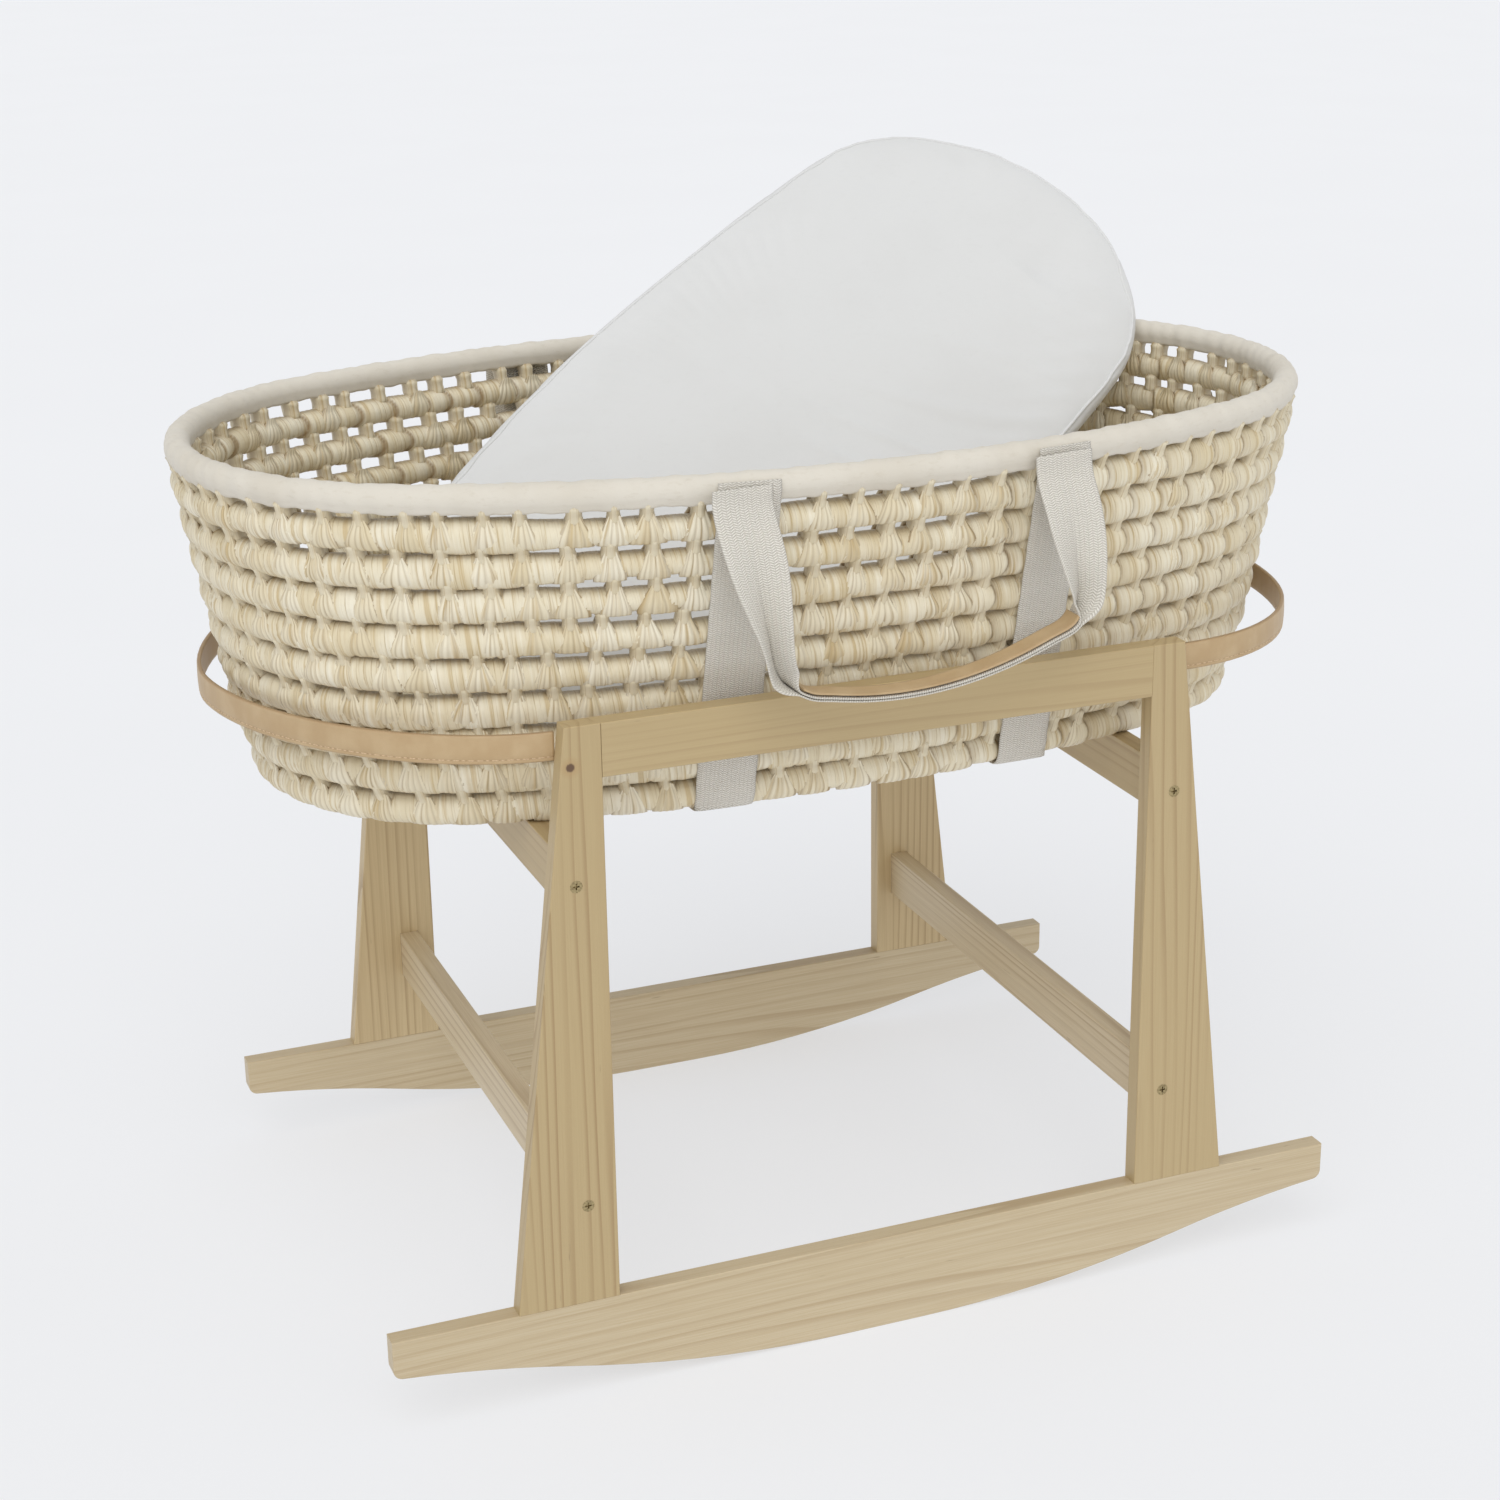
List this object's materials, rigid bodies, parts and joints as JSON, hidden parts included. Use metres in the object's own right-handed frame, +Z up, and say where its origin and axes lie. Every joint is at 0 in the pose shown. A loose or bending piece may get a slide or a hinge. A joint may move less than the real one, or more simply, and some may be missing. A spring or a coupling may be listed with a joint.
{
  "type": "bassinet on stand",
  "caption": "Oval coiled basket with a cloth-bound rim, a leaning mattress and two webbing handles, resting in a low wooden rocking stand with leather end belts.",
  "frame": {"origin": "on the floor, midway between the two rockers", "axes": "+X along the rockers and the basket, +Y across towards the far side frame, +Z up"},
  "size_m": [0.858, 0.577, 0.7914],
  "materials": {
    "pine": "satin clear varnish",
    "beech": "plain",
    "screw_brass": "satin",
    "belt_leather": "natural tan, stitched edges",
    "grip_leather": "natural tan",
    "husk": "coiled and stitched husk",
    "rim_cotton": "undyed cotton binding",
    "webbing": "undyed twill webbing",
    "mattress_cotton": "white quilted cotton",
    "foam": "soft core"
  },
  "bodies": {
    "stand": {"near_left_leg": "pine", "near_right_leg": "pine", "far_left_leg": "pine", "far_right_leg": "pine", "near_top_rail": "pine", "far_top_rail": "pine", "near_rocker": "pine", "far_rocker": "pine", "lower_left_bar": "pine", "lower_right_bar": "pine", "upper_left_bar": "pine", "upper_right_bar": "pine", "bar_screws": "screw_brass", "rail_dowels": "beech", "leg_dowels": "beech", "left_belt": "belt_leather", "right_belt": "belt_leather", "belt_screws": "screw_brass", "belt_rivets": "screw_brass"},
    "basket": {"basket_wall": "husk", "basket_floor": "husk", "rim_core": "husk", "rim_binding": "rim_cotton", "left_carry_strap": "webbing", "right_carry_strap": "webbing"},
    "near_handle": {"near_handle_webbing": "webbing", "near_handle_grip": "grip_leather"},
    "far_handle": {"far_handle_webbing": "webbing", "far_handle_grip": "grip_leather"},
    "mattress": {"mattress_foam": "foam", "mattress_cover": "mattress_cotton"}
  },
  "joints": [
    {"name": "basket_lift", "type": "slide", "parent": "stand", "child": "basket", "axis": [0, 0, 1], "range_m": [0, 0.25]},
    {"name": "near_handle_fold", "type": "hinge", "parent": "basket", "child": "near_handle", "pos_m": [0, -0.2515, 0.6443], "axis": [-1, 0, 0], "range_deg": [0, 170]},
    {"name": "far_handle_fold", "type": "hinge", "parent": "basket", "child": "far_handle", "pos_m": [0, 0.2515, 0.6443], "axis": [1, 0, 0], "range_deg": [0, 155]},
    {"name": "mattress_lift", "type": "slide", "parent": "basket", "child": "mattress", "axis": [0, 0, 1], "range_m": [0, 0.3]}
  ]
}
